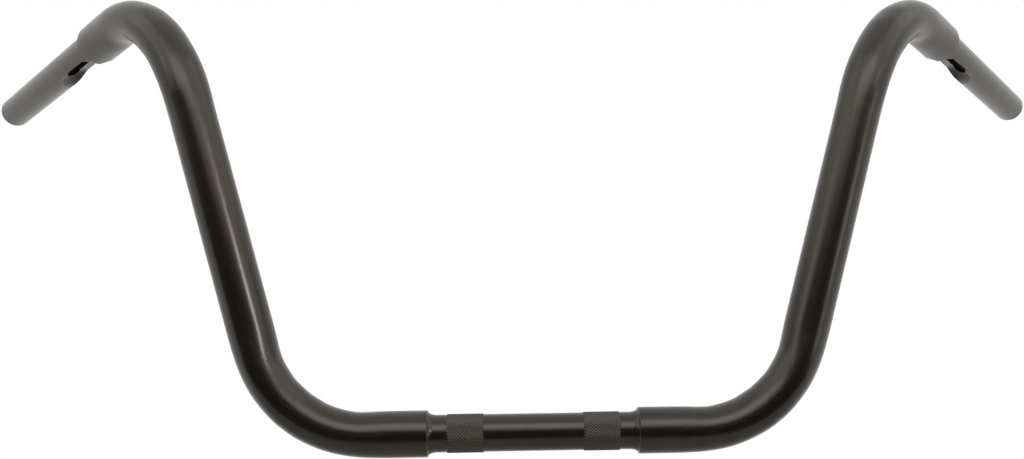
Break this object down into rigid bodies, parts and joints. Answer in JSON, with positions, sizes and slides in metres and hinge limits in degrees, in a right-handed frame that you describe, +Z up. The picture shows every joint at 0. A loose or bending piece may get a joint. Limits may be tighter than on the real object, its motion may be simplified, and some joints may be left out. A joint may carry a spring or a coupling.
{
  "type": "ape hanger handlebar",
  "caption": "Tall wide motorcycle handlebar of fat bent tube with a slimmer knurled clamp section in the middle and slim grip ends with wiring slots.",
  "frame": {"origin": "middle of the clamp section, on its axis", "axes": "+X across the bike to the rider's left, +Y back to the rider, +Z up; the risers stand in the XZ plane"},
  "size_m": [0.9416, 0.2884, 0.3337],
  "materials": {
    "black_coat": "satin black powder coat on steel tube"
  },
  "bodies": {
    "root": {"centre_tube": "black_coat", "left_riser_tube": "black_coat", "right_riser_tube": "black_coat", "left_grip_tube": "black_coat", "right_grip_tube": "black_coat", "left_clamp_weld": "black_coat", "right_clamp_weld": "black_coat", "left_grip_weld": "black_coat", "right_grip_weld": "black_coat"}
  },
  "joints": []
}
